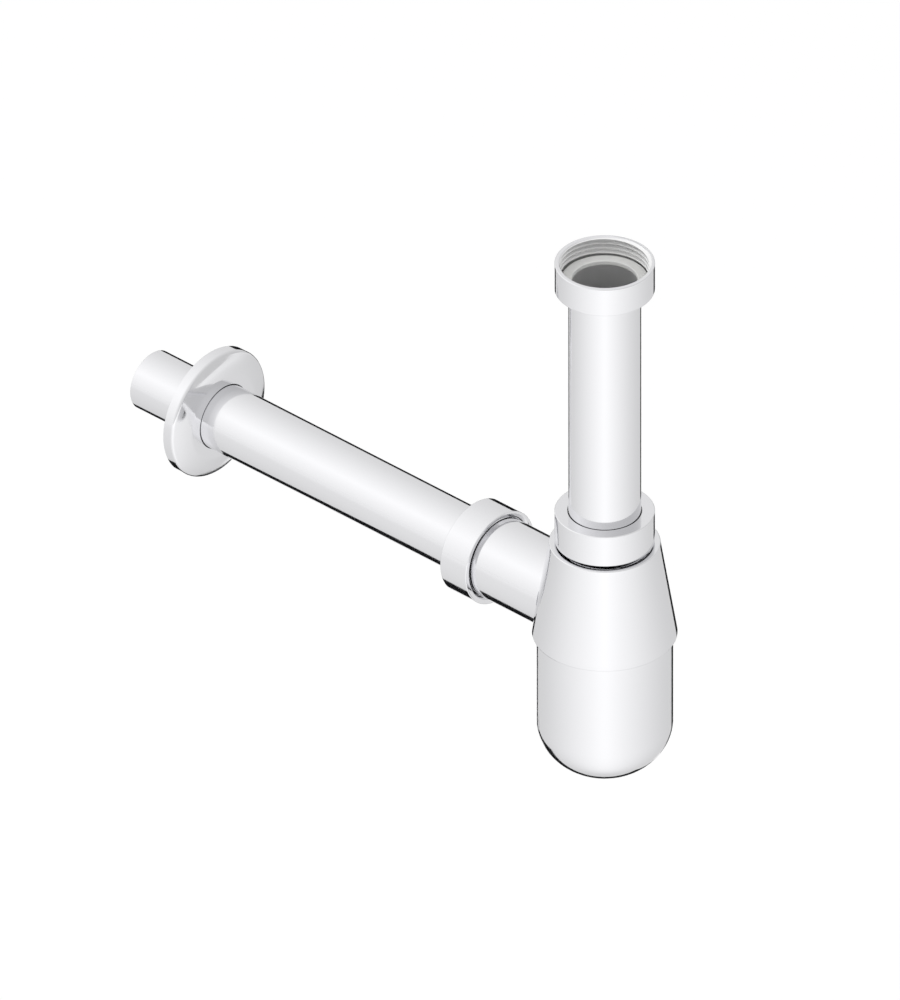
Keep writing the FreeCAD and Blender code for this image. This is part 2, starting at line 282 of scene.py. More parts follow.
def combined(target, tool, operation):
    """The union or difference of two closed meshes; both are used up."""
    holders = []
    for bm in (target, tool):
        mesh = bpy.data.meshes.new("joining")
        bm.to_mesh(mesh)
        bm.free()
        holder = bpy.data.objects.new("joining", mesh)
        bpy.context.scene.collection.objects.link(holder)
        holders.append(holder)
    modifier = holders[0].modifiers.new("joining", "BOOLEAN")
    modifier.operation = operation
    modifier.object = holders[1]
    modifier.solver = "EXACT"
    depsgraph = bpy.context.evaluated_depsgraph_get()
    mesh = bpy.data.meshes.new_from_object(holders[0].evaluated_get(depsgraph))
    result = bmesh.new()
    result.from_mesh(mesh)
    for holder in holders:
        old = holder.data
        bpy.data.objects.remove(holder)
        bpy.data.meshes.remove(old)
    bpy.data.meshes.remove(mesh)
    return result


def along_outlet(bm):
    """Lays a piece turned about Z on the outlet's axis, its height becoming its distance from the inlet."""
    bmesh.ops.rotate(bm, cent=(0, 0, 0), matrix=Matrix.Rotation(-math.pi / 2, 3, "Y"), verts=bm.verts)
    bmesh.ops.translate(bm, vec=(0, 0, OUTLET_HEIGHT), verts=bm.verts)
    return bm


def placed(bm, name, body, node, material):
    """Makes an object of a mesh, with smooth faces and crisp edges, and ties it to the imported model."""
    mesh = bpy.data.meshes.new(name)
    bm.to_mesh(mesh)
    bm.free()
    for face in mesh.polygons:
        face.use_smooth = True
    mesh.set_sharp_from_angle(angle=SHARP_ANGLE)
    piece = bpy.data.objects.new(name, mesh)
    bpy.context.scene.collection.objects.link(piece)
    mesh.materials.append(material)
    normals = piece.modifiers.new("even_normals", "WEIGHTED_NORMAL")
    normals.keep_sharp = True
    normals.weight = NORMAL_WEIGHT
    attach(piece, body)
    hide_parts(node)
    return piece


def add_node(tree, kind, settings=None, links=None):
    """Adds one node; settings are its properties or socket defaults, links are input name to output."""
    node = tree.nodes.new(kind)
    for key, value in (settings or {}).items():
        if isinstance(key, str) and key in node.bl_rna.properties:
            setattr(node, key, value)
        else:
            node.inputs[key].default_value = value
    for key, output in (links or {}).items():
        tree.links.new(output, node.inputs[key])
    return node


def new_material(name):
    """An empty node material, its tree and its Object coordinates."""
    material = bpy.data.materials.new(name)
    material.use_nodes = True
    tree = material.node_tree
    tree.nodes.clear()
    coordinates = add_node(tree, "ShaderNodeTexCoord").outputs["Object"]
    return material, tree, coordinates


def chrome_plate(finish):
    """Bright chrome on polished brass: a clear mirror with faint wipe marks and polishing waves."""
    material, tree, coordinates = new_material("chrome_plated_brass")
    # Both are drawn coarser than real ones, so that they show
    wipe_mark = 6 * MM
    polishing_wave = 0.8 * MM
    smears = add_node(tree, "ShaderNodeTexNoise", {"Scale": 1 / wipe_mark, "Detail": 4.0, "Roughness": 0.6},
                      {"Vector": coordinates})
    gloss = add_node(tree, "ShaderNodeMapRange",
                     {"From Min": 0.35, "From Max": 0.7, "To Min": finish.chrome_roughness - 0.03,
                      "To Max": finish.chrome_roughness + 0.04}, {"Value": smears.outputs["Fac"]})
    waves = add_node(tree, "ShaderNodeTexNoise", {"Scale": 1 / polishing_wave, "Detail": 2.0},
                     {"Vector": coordinates})
    relief = add_node(tree, "ShaderNodeBump", {"Strength": 0.02, "Distance": 0.02 * MM},
                      {"Height": waves.outputs["Fac"]})
    shader = add_node(tree, "ShaderNodeBsdfPrincipled",
                      {"Base Color": linear(finish.chrome), "Metallic": 1.0},
                      {"Roughness": gloss.outputs["Result"], "Normal": relief.outputs["Normal"]})
    add_node(tree, "ShaderNodeOutputMaterial", links={"Surface": shader.outputs["BSDF"]})
    return material


def plated_outside(finish, name, dullness, bore, bore_top):
    """Chrome plated brass that is bright outside, and dull and unpolished in its bore below a height. The
    dull plate is real; its tone, paler than the chrome, is painted light that lifts the shade inside the
    bore.
    """
    material, tree, coordinates = new_material(name)
    across = add_node(tree, "ShaderNodeVectorMath", {"operation": "MULTIPLY", 1: (1, 1, 0)},
                      {0: coordinates}).outputs["Vector"]
    radius = add_node(tree, "ShaderNodeVectorMath", {"operation": "LENGTH"}, {0: across}).outputs["Value"]
    outside = add_node(tree, "ShaderNodeMath", {"operation": "GREATER_THAN", 1: bore},
                       {0: radius}).outputs[0]
    height = add_node(tree, "ShaderNodeSeparateXYZ", links={0: coordinates}).outputs["Z"]
    above = add_node(tree, "ShaderNodeMath", {"operation": "GREATER_THAN", 1: bore_top},
                     {0: height}).outputs[0]
    bright = add_node(tree, "ShaderNodeMath", {"operation": "MAXIMUM"}, {0: outside, 1: above}).outputs[0]
    gloss = add_node(tree, "ShaderNodeMapRange", {"To Min": dullness, "To Max": finish.chrome_roughness},
                     {"Value": bright})
    # Painted light: the bore's pale tone lifts the shade inside the bore and thread
    tone = add_node(tree, "ShaderNodeMix",
                    {"data_type": "RGBA", 6: linear(finish.bore), 7: linear(finish.chrome)},
                    {"Factor": bright})
    shader = add_node(tree, "ShaderNodeBsdfPrincipled", {"Metallic": 1.0},
                      {"Base Color": tone.outputs[2], "Roughness": gloss.outputs["Result"]})
    add_node(tree, "ShaderNodeOutputMaterial", links={"Surface": shader.outputs["BSDF"]})
    return material


def moulded(name, colour, roughness, grain, depth):
    """Moulded rubber or plastic: soft broad gloss, a cloudy tone and the fine grain of its mould."""
    material, tree, coordinates = new_material(name)
    cloud = 4 * MM
    darkening = 0.86
    tone = add_node(tree, "ShaderNodeTexNoise", {"Scale": 1 / cloud, "Detail": 3.0}, {"Vector": coordinates})
    base = linear(colour)
    darker = tuple(channel * darkening for channel in base[:3]) + (1.0,)
    shade = add_node(tree, "ShaderNodeMix", {"data_type": "RGBA", 6: darker, 7: base},
                     {"Factor": tone.outputs["Fac"]})
    speckle = add_node(tree, "ShaderNodeTexNoise", {"Scale": 1 / grain, "Detail": 2.0},
                       {"Vector": coordinates})
    relief = add_node(tree, "ShaderNodeBump", {"Strength": 0.35, "Distance": depth},
                      {"Height": speckle.outputs["Fac"]})
    shader = add_node(tree, "ShaderNodeBsdfPrincipled", {"Roughness": roughness},
                      {"Base Color": shade.outputs[2], "Normal": relief.outputs["Normal"]})
    add_node(tree, "ShaderNodeOutputMaterial", links={"Surface": shader.outputs["BSDF"]})
    return material


def drawn_brass(finish):
    """Bare drawn brass tube: warm metal with fine lines along its length, fifty times longer than wide."""
    material, tree, coordinates = new_material("drawn_brass")
    line = 0.5 * MM
    stretched = add_node(tree, "ShaderNodeMapping", {"Scale": (1.0, 1.0, 0.02)}, {"Vector": coordinates})
    lines = add_node(tree, "ShaderNodeTexNoise", {"Scale": 1 / line, "Detail": 3.0},
                     {"Vector": stretched.outputs["Vector"]})
    gloss = add_node(tree, "ShaderNodeMapRange", {"To Min": 0.24, "To Max": 0.42},
                     {"Value": lines.outputs["Fac"]})
    shader = add_node(tree, "ShaderNodeBsdfPrincipled",
                      {"Base Color": linear(finish.brass), "Metallic": 1.0},
                      {"Roughness": gloss.outputs["Result"]})
    add_node(tree, "ShaderNodeOutputMaterial", links={"Surface": shader.outputs["BSDF"]})
    return material


def finishes(context):
    """The materials by name, made once."""
    finish = context.scene.trap_finish
    makers = {
        "chrome_plated_brass": lambda: chrome_plate(finish),
        "plated_inlet_tube": lambda: plated_outside(
            finish, "plated_inlet_tube", finish.bore_roughness, INLET_TUBE_RADIUS - TUBE_WALL / 2,
            high("inlet_tube").z),
        "plated_inlet_nut": lambda: plated_outside(
            finish, "plated_inlet_nut", finish.thread_roughness, NUT_RELIEF + DULL_BORE_MARGIN,
            high("inlet_nut").z - BRIGHT_FACE_DEPTH),
        "moulded_gasket": lambda: moulded(
            "moulded_gasket", finish.gasket, roughness=0.55, grain=0.3 * MM, depth=0.03 * MM),
        "moulded_black_rubber": lambda: moulded(
            "moulded_black_rubber", finish.seal, roughness=0.5, grain=0.25 * MM, depth=0.03 * MM),
        "moulded_polyethylene": lambda: moulded(
            "moulded_polyethylene", finish.slip_ring, roughness=0.42, grain=0.4 * MM, depth=0.02 * MM),
        "drawn_brass": lambda: drawn_brass(finish),
    }
    return {name: bpy.data.materials.get(name) or maker() for name, maker in makers.items()}


def joint_nut(sizes, tube_radius, opening, top, lip_start, mouth):
    """A body or outlet union nut for one tube, turned about Z, from its opening to its lip's top.

    Its thread runs out past the neck's mouth into an undercut for the slip ring.
    """
    bore = tube_radius + LIP_CLEARANCE
    edge = sizes.edge_rounding
    small = sizes.small_rounding
    thread_end = mouth + NUT_THREAD_RUN_OUT
    blank = turned([
        (bore, lip_start, small), (NUT_RELIEF, lip_start, 0), (NUT_RELIEF, thread_end, 0),
        (NUT_CREST, thread_end, 0), (NUT_CREST, opening + NUT_LEAD, 0),
        (NUT_CREST + NUT_LEAD, opening, small), (NUT_RADIUS, opening, edge),
        (NUT_RADIUS, top, edge), (bore, top, small),
    ], sizes.steps)
    start = opening - sizes.thread_pitch
    turns = (thread_end - start) / sizes.thread_pitch + THREAD_OVERRUN
    return combined(blank, thread_cutter(NUT_CREST, True, start, turns, sizes), "DIFFERENCE")


class TRAP_OT_inlet_nut(Operator):
    """Adds the inlet's union nut with its visible G 1 1/4 thread"""

    bl_idname = "trap.inlet_nut"
    bl_label = "Inlet nut"

    def execute(self, context):
        sizes = context.scene.trap_sizes
        bottom, top = low("inlet_nut").z, high("inlet_nut").z
        lip_top = low("inlet_slip_ring").z
        seat = high("inlet_gasket").z
        bore = INLET_TUBE_RADIUS + LIP_CLEARANCE
        lead = INLET_NUT_LEAD
        blank = turned([
            (bore, bottom, sizes.small_rounding), (NUT_RADIUS, bottom, sizes.edge_rounding),
            (NUT_RADIUS, top, sizes.edge_rounding), (NUT_CREST + lead, top, sizes.small_rounding),
            (NUT_CREST, top - lead, 0), (NUT_CREST, seat, 0), (NUT_RELIEF, seat, 0),
            (NUT_RELIEF, lip_top, 0), (bore, lip_top, 0),
        ], sizes.steps)
        turns = (top - seat) / sizes.thread_pitch + 2 * THREAD_OVERRUN
        cutter = thread_cutter(NUT_CREST, True, seat - sizes.thread_pitch / 2, turns, sizes)
        nut = combined(blank, cutter, "DIFFERENCE")
        placed(nut, "inlet_union_nut", "inlet_nut", "inlet_nut",
               finishes(context)["plated_inlet_nut"])
        return {"FINISHED"}


class TRAP_OT_inlet_tube(Operator):
    """Adds the inlet tube with its turned-out flange, and the pale gasket on it"""

    bl_idname = "trap.inlet_tube"
    bl_label = "Inlet tube and gasket"

    def execute(self, context):
        sizes = context.scene.trap_sizes
        bottom, top = low("inlet_tube").z, high("inlet_tube").z
        under = high("inlet_slip_ring").z
        bore = INLET_TUBE_RADIUS - TUBE_WALL
        flange = high("inlet_tube").x
        small = sizes.small_rounding
        tube = turned([
            (bore, bottom, small), (INLET_TUBE_RADIUS, bottom, small), (INLET_TUBE_RADIUS, under, 0),
            (flange, under, small), (flange, top, small), (bore, top, small * 2),
        ], sizes.steps)
        placed(tube, "flanged_inlet_tube", "inlet_tube", "inlet_tube",
               finishes(context)["plated_inlet_tube"])
        inner = bore - GASKET_OVERHANG
        edge = GASKET_EDGE
        gasket = turned([
            (inner, top, 0), (flange, top, 0), (flange, high("inlet_gasket").z, edge),
            (inner, high("inlet_gasket").z, edge),
        ], sizes.steps)
        placed(gasket, "flat_inlet_gasket", "inlet_tube", "inlet_gasket",
               finishes(context)["moulded_gasket"])
        return {"FINISHED"}


class TRAP_OT_joint_nuts(Operator):
    """Adds the union nuts on the body's upper neck and on its outlet"""

    bl_idname = "trap.joint_nuts"
    bl_label = "Body and outlet nuts"

    def execute(self, context):
        sizes = context.scene.trap_sizes
        chrome = finishes(context)["chrome_plated_brass"]
        upper = joint_nut(sizes, INLET_TUBE_RADIUS, low("body_nut").z, high("body_nut").z,
                          high("body_slip_ring").z, NECK_TOP)
        placed(upper, "body_union_nut", "body_nut", "body_nut", chrome)
        side = joint_nut(sizes, WALL_TUBE_RADIUS, -high("outlet_nut").x, -low("outlet_nut").x,
                         -low("outlet_slip_ring").x, OUTLET_MOUTH)
        placed(along_outlet(side), "outlet_union_nut", "outlet_nut", "outlet_nut", chrome)
        return {"FINISHED"}


def neck_outline(shoulder, mouth, sizes):
    """The corners of a neck's outside from its shoulder to its mouth, its thread at full crest radius."""
    crest = NUT_CREST + sizes.thread_depth - THREAD_PLAY
    run_in = shoulder + NECK_ROOT_LENGTH
    return [
        (NECK_ROOT, run_in, 0), (crest, run_in + (crest - NECK_ROOT), 0),
        (crest, mouth - NECK_CHAMFER, 0), (crest - NECK_CHAMFER, mouth, 0),
    ]


def neck_thread(shoulder, mouth, sizes):
    """The groove that cuts a neck's outside thread, half a pitch on from its nut's, so that they mesh."""
    crest = NUT_CREST + sizes.thread_depth - THREAD_PLAY
    start = shoulder + NECK_GAP + sizes.thread_pitch / 2
    turns = (mouth - start) / sizes.thread_pitch + THREAD_OVERRUN
    return thread_cutter(crest, False, start, turns, sizes)


def cup_thread_crest(sizes):
    """The crest radius of the body's thread that the cup screws into."""
    return high("cup_gasket").x + SEAT_CLEARANCE + THREAD_CLEARANCE - sizes.thread_depth / 2


class TRAP_OT_body(Operator):
    """Adds the cast body: cone, upper neck and side outlet with their threads, and its chamber"""

    bl_idname = "trap.body"
    bl_label = "Trap body"

    def execute(self, context):
        sizes = context.scene.trap_sizes
        steps = sizes.steps
        edge = sizes.edge_rounding
        small = sizes.small_rounding
        side = []
        for i in range(1, BODY_BANDS):
            way_up = i / BODY_BANDS
            radius = BASE_RADIUS + (CONE_TOP_RADIUS - BASE_RADIUS) * way_up
            side.append((radius, BASE + (SHOULDER - BASE) * way_up, 0))
        cone = turned([(0, BASE, 0), (BASE_RADIUS, BASE, BASE_EDGE)] + side
                      + [(CONE_TOP_RADIUS, SHOULDER, edge), (NECK_ROOT, SHOULDER, small)]
                      + neck_outline(SHOULDER, NECK_TOP, sizes) + [(0, NECK_TOP, 0)], steps)
        start = CHAMBER_RADIUS - BODY_WALL
        run = OUTLET_SHOULDER + NECK_ROOT_LENGTH - start
        rings = [(NECK_ROOT, start + run * i / BODY_BANDS, 0) for i in range(BODY_BANDS)]
        outlet = turned([(0, start, 0)] + rings + neck_outline(OUTLET_SHOULDER, OUTLET_MOUTH, sizes)
                        + [(0, OUTLET_MOUTH, 0)], steps)
        cup_way = turned([(0, OUTLET_HEIGHT - CUP_WAY, 0), (CUP_WAY, OUTLET_HEIGHT - CUP_WAY, 0),
                          (CUP_WAY, BASE, 0), (0, BASE, 0)], steps)
        outlet = combined(along_outlet(outlet), cup_way, "DIFFERENCE")
        body = combined(cone, outlet, "UNION")
        for space in self.spaces(sizes):
            body = combined(body, space, "DIFFERENCE")
        placed(body, "cast_trap_body", "trap_body", "trap_body",
               finishes(context)["chrome_plated_brass"])
        return {"FINISHED"}

    def spaces(self, sizes):
        """The solids to cut away: chamber, cup seat, seal seats, outlet bore, weir window and threads."""
        steps = sizes.steps
        above = CUTTER_REACH
        seat = high("body_cone_seal").x + SEAT_CLEARANCE
        nose = high("dip_tube").x + SEAT_CLEARANCE
        bore = WALL_TUBE_RADIUS + LIP_CLEARANCE
        neck_bore = nose - DIP_COLLAR_WIDTH
        roof = CONE_TOP_RADIUS - BODY_WALL
        roof_height = SHOULDER - BODY_ROOF
        ledge = high("cup_gasket").z
        thread_end = low("cup_gasket").z - SEAT_CLEARANCE
        crest = cup_thread_crest(sizes)
        relief = crest + sizes.thread_depth + SEAT_CLEARANCE
        recess = CUP_RADIUS + CUP_CLEARANCE
        recess_top = BASE + CUP_RECESS
        dip_ledge = low("dip_tube_washer").z
        chamber = turned([
            (0, dip_ledge + above, 0), (neck_bore, dip_ledge + above, 0), (neck_bore, roof_height, 0),
            (roof, roof_height, ROOF_ROUNDING), (CHAMBER_RADIUS, SHOULDER - CHAMBER_DEPTH, 0),
            (CHAMBER_RADIUS, ledge, 0), (relief, ledge, 0), (relief, thread_end, 0), (crest, thread_end, 0),
            (crest, recess_top, 0), (recess, recess_top, 0), (recess, BASE - above, 0), (0, BASE - above, 0),
        ], steps)
        turns = (thread_end - recess_top) / sizes.thread_pitch + CUP_THREAD_OVERRUN
        cup_thread = thread_cutter(crest, True, recess_top - sizes.thread_pitch, turns, sizes)
        upper_cone = NECK_TOP - SEAT_CONE_LENGTH
        upper_seat = turned([
            (0, dip_ledge, 0), (nose, dip_ledge, 0), (nose, upper_cone, 0), (seat, NECK_TOP, 0),
            (seat, NECK_TOP + above, 0), (0, NECK_TOP + above, 0),
        ], steps)
        side_floor = -high("outlet_cone_seal").x
        side_cone = OUTLET_MOUTH - SEAT_CONE_LENGTH
        side_seat = turned([
            (0, side_floor, 0), (nose, side_floor, 0), (nose, side_cone, 0), (seat, OUTLET_MOUTH, 0),
            (seat, OUTLET_MOUTH + above, 0), (0, OUTLET_MOUTH + above, 0),
        ], steps)
        side_bore = turned([
            (0, BORE_START, 0), (bore, BORE_START, 0), (bore, side_floor + above, 0),
            (0, side_floor + above, 0),
        ], steps)
        window = along_outlet(turned([
            (0, WINDOW_START, 0), (bore, WINDOW_START, 0), (bore, BORE_START + above, 0),
            (0, BORE_START + above, 0),
        ], steps))
        bmesh.ops.bisect_plane(window, geom=window.verts[:] + window.edges[:] + window.faces[:],
                               plane_co=(0, 0, BASE + WEIR_HEIGHT), plane_no=(0, 0, -1), clear_outer=True)
        bmesh.ops.holes_fill(window, edges=[edge for edge in window.edges if edge.is_boundary])
        bmesh.ops.recalc_face_normals(window, faces=window.faces)
        return [
            chamber, cup_thread, upper_seat, along_outlet(side_seat), along_outlet(side_bore), window,
            neck_thread(SHOULDER, NECK_TOP, sizes),
            along_outlet(neck_thread(OUTLET_SHOULDER, OUTLET_MOUTH, sizes)),
        ]


class TRAP_OT_cup(Operator):
    """Adds the cup with its domed bottom and threaded neck, and the gasket on its mouth"""

    bl_idname = "trap.cup"
    bl_label = "Cup and gasket"

    def execute(self, context):
        sizes = context.scene.trap_sizes
        bottom, mouth = low("cup").z, high("cup").z
        dome_start = bottom + CUP_DOME
        shoulder = mouth - CUP_NECK
        crest = cup_thread_crest(sizes) + sizes.thread_depth - THREAD_PLAY
        root = crest - sizes.thread_depth - THREAD_PLAY
        inner_neck = CUP_RADIUS - CUP_NECK_BORE_STEP
        inner = CUP_RADIUS - CUP_WALL
        inner_height = CUP_DOME - CUP_WALL
        small = sizes.small_rounding
        outer_dome = []
        inner_dome = []
        for i in range(DOME_BANDS + 1):
            angle = math.pi / 2 * i / DOME_BANDS
            outer_dome.append((CUP_RADIUS * math.sin(angle), dome_start - CUP_DOME * math.cos(angle), 0))
            inner_dome.append((inner * math.cos(angle), dome_start - inner_height * math.sin(angle), 0))
        blank = turned(outer_dome + [
            (CUP_RADIUS, shoulder, CUP_SHOULDER_EDGE), (root, shoulder, 0),
            (root, shoulder + CUP_THREAD_ROOT, 0), (crest, shoulder + CUP_THREAD_ROOT + crest - root, 0),
            (crest, mouth - CUP_CHAMFER, 0), (crest - CUP_CHAMFER, mouth, small),
            (inner_neck, mouth, small), (inner_neck, shoulder - CUP_WALL, 0),
            (inner, shoulder - CUP_WALL - (inner - inner_neck), 0)] + inner_dome, sizes.steps)
        start = BASE + CUP_RECESS + sizes.thread_pitch / 2
        turns = (mouth - start) / sizes.thread_pitch + THREAD_OVERRUN
        cup = combined(blank, thread_cutter(crest, False, start, turns, sizes), "DIFFERENCE")
        placed(cup, "domed_cup", "cup", "cup", finishes(context)["chrome_plated_brass"])
        # The gasket's edge clears the crests of the body's thread on its way out
        edge = cup_thread_crest(sizes) - SEAT_CLEARANCE
        gasket_top = high("cup_gasket").z
        gasket = turned([(inner_neck, mouth, small), (edge, mouth, small), (edge, gasket_top, small),
                         (inner_neck, gasket_top, small)], sizes.steps)
        placed(gasket, "flat_cup_gasket", "cup_seal", "cup_gasket",
               finishes(context)["moulded_black_rubber"])
        return {"FINISHED"}


class TRAP_OT_wall_tube(Operator):
    """Adds the wall tube with its drawn-down end"""

    bl_idname = "trap.wall_tube"
    bl_label = "Wall tube"

    def execute(self, context):
        sizes = context.scene.trap_sizes
        inner_end, outer_end = -high("wall_tube").x, -low("wall_tube").x
        bore = WALL_TUBE_RADIUS - TUBE_WALL
        stub = WALL_TUBE_RADIUS - STUB_REDUCTION
        stub_start = outer_end - STUB_LENGTH
        taper_start = stub_start - STUB_TAPER
        small = sizes.small_rounding
        tube = turned([
            (bore, inner_end, small), (WALL_TUBE_RADIUS, inner_end, small),
            (WALL_TUBE_RADIUS, taper_start, STUB_ROUNDING), (stub, stub_start, STUB_ROUNDING),
            (stub, outer_end, small), (stub - TUBE_WALL, outer_end, small),
            (stub - TUBE_WALL, stub_start, STUB_ROUNDING), (bore, taper_start, STUB_ROUNDING),
        ], sizes.steps)
        placed(along_outlet(tube), "straight_wall_tube", "wall_tube", "wall_tube",
               finishes(context)["chrome_plated_brass"])
        return {"FINISHED"}


class TRAP_OT_wall_flange(Operator):
    """Adds the domed cover on the wall with its rolled rim and its grip ring"""

    bl_idname = "trap.wall_flange"
    bl_label = "Wall flange"

    def execute(self, context):
        sizes = context.scene.trap_sizes
        back, front = -low("wall_flange").x, -high("wall_flange").x
        sheet = FLANGE_SHEET
        grip = (high("flange_grip_ring").z - low("flange_grip_ring").z) / 2
        grip_back = -low("flange_grip_ring").x
        hole = WALL_TUBE_RADIUS + FLANGE_HOLE_CLEARANCE
        rim_front = back - FLANGE_RIM
        flat = grip + SEAT_CLEARANCE + GRIP_CUP_WALL

        def face(shift, edge_radius):
            """Corners of the gently bowed face, from the flat round the hole to the rim."""
            corners = []
            for i in range(1, FLANGE_BANDS):
                way_out = i / FLANGE_BANDS
                radius = flat + (edge_radius - flat) * way_out
                fall = (rim_front - front) * way_out - FLANGE_BOW * math.sin(math.pi * way_out)
                corners.append((radius, front + shift + fall, 0))
            return corners

        inside = FLANGE_RADIUS - sheet
        grip_wall = flat - GRIP_CUP_WALL
        shell = turned(
            [(hole, front, FLANGE_HOLE_EDGE), (flat, front, 0)] + face(0, FLANGE_RADIUS)
            + [(FLANGE_RADIUS, rim_front, FLANGE_EDGE), (FLANGE_RADIUS, back, FLANGE_BACK_EDGE),
               (inside, back, FLANGE_BACK_EDGE), (inside, rim_front + sheet, FLANGE_INNER_EDGE)]
            + face(sheet, inside)[::-1]
            + [(flat, front + sheet, 0), (flat, grip_back, GRIP_CUP_EDGE),
               (grip_wall, grip_back, GRIP_CUP_EDGE), (grip_wall, front + sheet, 0),
               (hole, front + sheet, FLANGE_HOLE_BACK_EDGE)], sizes.steps)
        placed(along_outlet(shell), "domed_wall_flange", "wall_flange", "wall_flange",
               finishes(context)["chrome_plated_brass"])
        return {"FINISHED"}


class TRAP_OT_inner_pieces(Operator):
    """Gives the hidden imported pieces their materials: dip tube, slip rings, seals and washers"""

    bl_idname = "trap.inner_pieces"
    bl_label = "Inner pieces"

    def execute(self, context):
        nodes_of = {
            "moulded_black_rubber": (
                "body_cone_seal", "outlet_cone_seal", "dip_tube_washer", "flange_grip_ring"),
            "moulded_polyethylene": ("inlet_slip_ring", "body_slip_ring", "outlet_slip_ring"),
            "drawn_brass": ("dip_tube",),
        }
        for material, nodes in nodes_of.items():
            for node in nodes:
                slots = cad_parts[node].data.materials
                slots.clear()
                slots.append(finishes(context)[material])
        return {"FINISHED"}


def shows_to_eye(tree):
    """1 where a camera or mirror ray arrives, and 0 for rays that carry light."""
    rays = add_node(tree, "ShaderNodeLightPath").outputs
    seen = add_node(tree, "ShaderNodeMath", {"operation": "MAXIMUM"},
                    {0: rays["Is Camera Ray"], 1: rays["Is Glossy Ray"]})
    return add_node(tree, "ShaderNodeMath", {"operation": "MAXIMUM"},
                    {0: seen.outputs[0], 1: rays["Is Transmission Ray"]}).outputs[0]


def studio_floor(finish):
    """A matt pale floor, which keeps the object's soft shadow and shows white to the eye behind it.

    To mirrors it shows a painted pool of light, a glow that lights nothing: brightest in front, and falling
    off to a pale grey to both sides.
    """
    material, tree, coordinates = new_material("matt_floor_with_painted_glow")
    matt = add_node(tree, "ShaderNodeBsdfDiffuse", {"Color": linear(finish.floor)})
    turned_round = add_node(tree, "ShaderNodeMapping", {"Rotation": (0, 0, -CAMERA_AZIMUTH)},
                            {"Vector": coordinates})
    parts = add_node(tree, "ShaderNodeSeparateXYZ", links={0: turned_round.outputs["Vector"]}).outputs
    # The sine of half the angle from straight ahead, round the inlet's axis: the root of (1 - cosine) / 2
    ahead = add_node(tree, "ShaderNodeMath", {"operation": "MULTIPLY_ADD", 1: -1.0, 2: FRONT_SHIFT},
                     {0: parts["Y"]}).outputs[0]
    way = add_node(tree, "ShaderNodeCombineXYZ", {"Z": FRONT_SOFTNESS}, {"X": parts["X"], "Y": ahead})
    reach = add_node(tree, "ShaderNodeVectorMath", {"operation": "LENGTH"},
                     {0: way.outputs[0]}).outputs["Value"]
    cosine = add_node(tree, "ShaderNodeMath", {"operation": "DIVIDE"}, {0: ahead, 1: reach})
    half = add_node(tree, "ShaderNodeMath", {"operation": "MULTIPLY_ADD", 1: -0.5, 2: 0.5},
                    {0: cosine.outputs[0]})
    turn = add_node(tree, "ShaderNodeMath", {"operation": "SQRT"}, {0: half.outputs[0]})
    # Painted light for the eye and mirrors only: a glow brightest in front, lower to the sides and higher
    # far away
    far = add_node(tree, "ShaderNodeMapRange",
                   {"interpolation_type": "SMOOTHSTEP", "From Min": FAR_START, "From Max": FAR_END,
                    "To Min": PAINTED_FRONT_POOL, "To Max": PAINTED_FRONT_POOL + PAINTED_FAR_GLOW}, {"Value": reach})
    painted_round_glow = add_node(tree, "ShaderNodeMath", {"operation": "MULTIPLY_ADD", 1: -PAINTED_POOL_FALL},
                          {0: turn.outputs[0], 2: far.outputs["Result"]})
    # The white strip behind the object, which is what the camera sees
    offset = add_node(tree, "ShaderNodeMath", {"operation": "SUBTRACT", 1: BACKDROP_MIDDLE}, {0: parts["X"]})
    side = add_node(tree, "ShaderNodeMath", {"operation": "ABSOLUTE"}, {0: offset.outputs[0]})
    inside = add_node(tree, "ShaderNodeMapRange",
                      {"interpolation_type": "SMOOTHERSTEP", "From Min": BACKDROP_HALF,
                       "From Max": BACKDROP_HALF + BACKDROP_EDGE, "To Min": 1.0, "To Max": 0.0},
                      {"Value": side.outputs[0]})
    behind = add_node(tree, "ShaderNodeMapRange",
                      {"interpolation_type": "SMOOTHERSTEP", "From Min": BACKDROP_START - BACKDROP_EDGE,
                       "From Max": BACKDROP_START, "To Min": 0.0, "To Max": 1.0}, {"Value": parts["Y"]})
    strip = add_node(tree, "ShaderNodeMath", {"operation": "MULTIPLY"},
                     {0: inside.outputs["Result"], 1: behind.outputs["Result"]})
    shown = add_node(tree, "ShaderNodeMix", {"data_type": "FLOAT", 3: BACKDROP_GLOW},
                     {"Factor": strip.outputs[0], 2: painted_round_glow.outputs[0]})
    strength = add_node(tree, "ShaderNodeMath", {"operation": "MULTIPLY"},
                        {0: shown.outputs[0], 1: shows_to_eye(tree)})
    glow = add_node(tree, "ShaderNodeEmission", {"Color": (1, 1, 1, 1)}, {"Strength": strength.outputs[0]})
    both = add_node(tree, "ShaderNodeAddShader", links={0: matt.outputs[0], 1: glow.outputs[0]})
    add_node(tree, "ShaderNodeOutputMaterial", links={"Surface": both.outputs[0]})
    return material


def black_felt(finish):
    """Black felt on the studio's cards: matt and nearly black."""
    material, tree = new_material("black_felt")[:2]
    matt = add_node(tree, "ShaderNodeBsdfDiffuse", {"Color": linear(finish.felt)})
    add_node(tree, "ShaderNodeOutputMaterial", links={"Surface": matt.outputs["BSDF"]})
    return material


def soft_light(name, offset, power):
    """A square softbox at a place round the object's middle, turned to that middle."""
    lamp = bpy.data.lights.new(name, "AREA")
    lamp.size = SOFTBOX_SIZE
    lamp.energy = power
    holder = bpy.data.objects.new(name, lamp)
    holder.location = MIDDLE + offset
    holder.rotation_euler = (-offset).to_track_quat("-Z", "Y").to_euler()
    holder.visible_glossy = False
    bpy.context.scene.collection.objects.link(holder)


